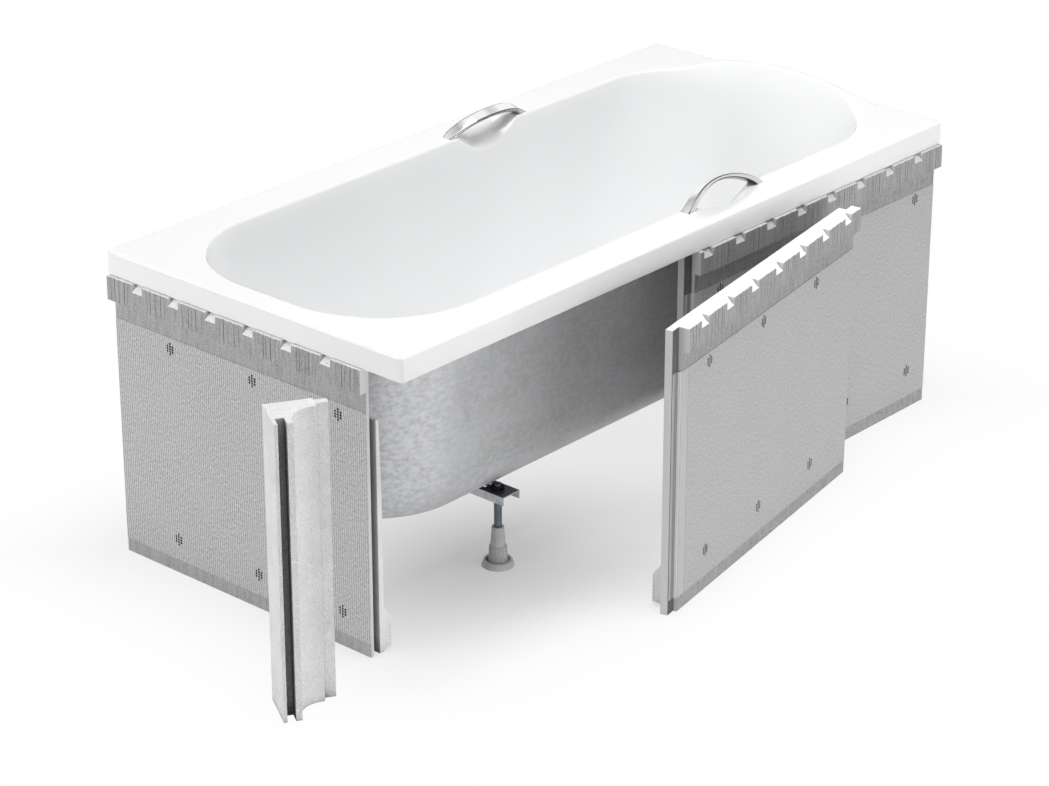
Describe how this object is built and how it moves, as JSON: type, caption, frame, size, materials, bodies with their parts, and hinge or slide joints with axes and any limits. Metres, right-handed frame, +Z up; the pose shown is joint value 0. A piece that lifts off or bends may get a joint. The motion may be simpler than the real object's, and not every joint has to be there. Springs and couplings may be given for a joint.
{
  "type": "skirted bathtub",
  "caption": "Rectangular enamelled bathtub on screw feet, with bow grips in its rim and a skirt of tongued foam panels; a front panel and the corner post stand off beside it.",
  "frame": {"origin": "on the floor, under the middle of the tub's rim", "axes": "+X from the foot end to the head end, -Y to the front, where the skirt is, and +Z up"},
  "size_m": [1.9801, 1.0345, 0.702],
  "materials": {
    "enamel": "gloss",
    "chrome": "polished",
    "zinc": "satin",
    "black_steel": "satin",
    "galvanised": "satin",
    "foot_plastic": "matte",
    "foam_core": "matte",
    "foam_skin": "matte",
    "fleece": "matte",
    "mesh": "matte"
  },
  "bodies": {
    "tub": {"tub_shell": "enamel", "grip_front": "chrome", "grip_back": "chrome", "grip_studs": "zinc", "grip_nuts": "zinc", "foot_beam_left": "galvanised", "foot_beam_right": "galvanised", "foot_rods": "zinc", "foot_nuts": "black_steel"},
    "foot_1_plate": {"foot_1_base": "foot_plastic"},
    "foot_1_screw": {"foot_1_sleeve": "foot_plastic"},
    "foot_2_plate": {"foot_2_base": "foot_plastic"},
    "foot_2_screw": {"foot_2_sleeve": "foot_plastic"},
    "foot_3_plate": {"foot_3_base": "foot_plastic"},
    "foot_3_screw": {"foot_3_sleeve": "foot_plastic"},
    "foot_4_plate": {"foot_4_base": "foot_plastic"},
    "foot_4_screw": {"foot_4_sleeve": "foot_plastic"},
    "end_panel": {"end_face": "foam_skin", "end_core": "foam_core", "end_rear": "foam_core", "end_block": "foam_core", "end_strip": "foam_skin", "end_fleece": "fleece"},
    "right_panel": {"right_face": "foam_skin", "right_core": "foam_core", "right_rear": "foam_core", "right_block": "foam_core", "right_strip": "foam_skin", "right_fleece": "fleece", "right_flap": "mesh"},
    "left_panel": {"left_face": "foam_skin", "left_core": "foam_core", "left_rear": "foam_core", "left_block": "foam_core", "left_strip": "foam_skin", "left_fleece": "fleece", "left_flap": "mesh"},
    "post": {"corner_post": "foam_core"}
  },
  "joints": [
    {"name": "foot_1_height", "type": "slide", "parent": "tub", "child": "foot_1_plate", "axis": [0, 0, -1], "range_m": [-0.03, 0.02]},
    {"name": "foot_1_turn", "type": "hinge", "parent": "foot_1_plate", "child": "foot_1_screw", "pos_m": [-0.39, -0.2195, 0.005], "axis": [0, 0, -1], "range_deg": [-5400, 3600]},
    {"name": "foot_2_height", "type": "slide", "parent": "tub", "child": "foot_2_plate", "axis": [0, 0, -1], "range_m": [-0.03, 0.02]},
    {"name": "foot_2_turn", "type": "hinge", "parent": "foot_2_plate", "child": "foot_2_screw", "pos_m": [-0.39, 0.2195, 0.005], "axis": [0, 0, -1], "range_deg": [-5400, 3600]},
    {"name": "foot_3_height", "type": "slide", "parent": "tub", "child": "foot_3_plate", "axis": [0, 0, -1], "range_m": [-0.03, 0.02]},
    {"name": "foot_3_turn", "type": "hinge", "parent": "foot_3_plate", "child": "foot_3_screw", "pos_m": [0.39, -0.2195, 0.005], "axis": [0, 0, -1], "range_deg": [-5400, 3600]},
    {"name": "foot_4_height", "type": "slide", "parent": "tub", "child": "foot_4_plate", "axis": [0, 0, -1], "range_m": [-0.03, 0.02]},
    {"name": "foot_4_turn", "type": "hinge", "parent": "foot_4_plate", "child": "foot_4_screw", "pos_m": [0.39, 0.2195, 0.005], "axis": [0, 0, -1], "range_deg": [-5400, 3600]},
    {"name": "end_panel_pull", "type": "slide", "parent": "tub", "child": "end_panel", "axis": [-1, 0, 0], "range_m": [0, 0.12]},
    {"name": "right_panel_pull", "type": "slide", "parent": "tub", "child": "right_panel", "axis": [0, -1, 0], "range_m": [0, 0.025]},
    {"name": "left_panel_move", "type": "slide", "parent": "tub", "child": "left_panel", "axis": [0, -1, 0], "range_m": [0, 0.25]},
    {"name": "post_move", "type": "slide", "parent": "tub", "child": "post", "axis": [-1, 0, 0], "range_m": [0, 0.2]}
  ],
  "couplings": [
    {"joint": "foot_1_turn", "follows": "foot_1_height", "rad_per_m": 3141.6},
    {"joint": "foot_2_turn", "follows": "foot_2_height", "rad_per_m": 3141.6},
    {"joint": "foot_3_turn", "follows": "foot_3_height", "rad_per_m": 3141.6},
    {"joint": "foot_4_turn", "follows": "foot_4_height", "rad_per_m": 3141.6}
  ]
}
